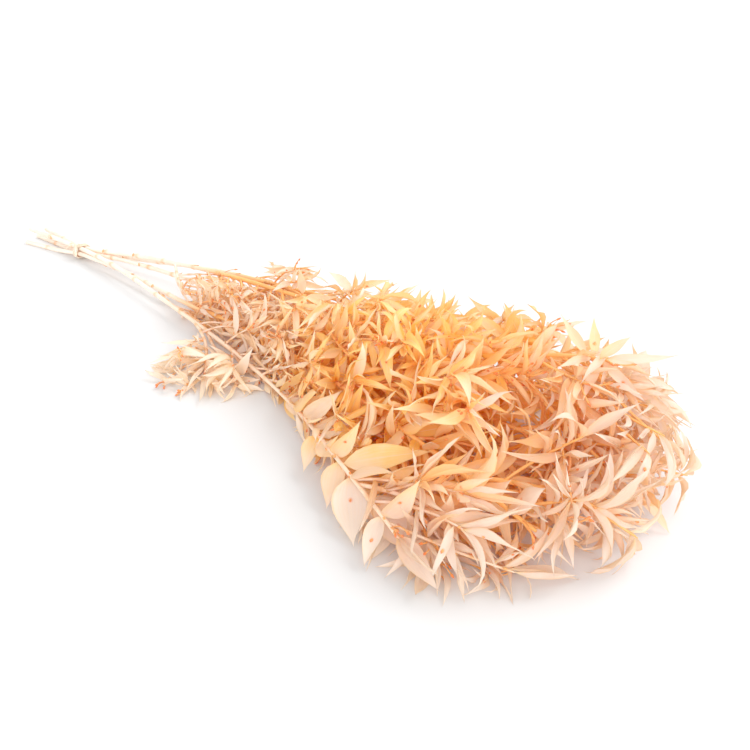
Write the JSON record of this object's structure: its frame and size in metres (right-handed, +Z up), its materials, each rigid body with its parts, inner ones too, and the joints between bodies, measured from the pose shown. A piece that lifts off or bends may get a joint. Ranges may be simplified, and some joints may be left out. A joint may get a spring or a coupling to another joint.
{
  "type": "dried ruscus bunch",
  "caption": "Peach-dyed preserved ruscus: leafy, branching stems gathered at a narrow waist by a raffia tie and fanned out flat, lying on a surface.",
  "frame": {"origin": "middle of the bunch's footprint, on the surface that it lies on", "axes": "+X along the bunch from the cut ends to the leaf tips, +Y across it, +Z up"},
  "size_m": [0.6888, 0.2071, 0.0892],
  "materials": {
    "leaf": "matt, thin preserved leaves and twigs dyed peach to orange",
    "bark": "matt, pale straw on the bare lower stems, turning orange among the leaves",
    "bud": "matt orange-red, for the small buds on the leaves and the scales at the joints of the stems",
    "raffia": "matt straw-coloured raffia"
  },
  "bodies": {
    "root": {"stem_top": "leaf", "stem_back": "leaf", "stem_middle": "leaf", "stem_near": "leaf", "stem_front": "leaf", "tie": "raffia"}
  },
  "joints": []
}
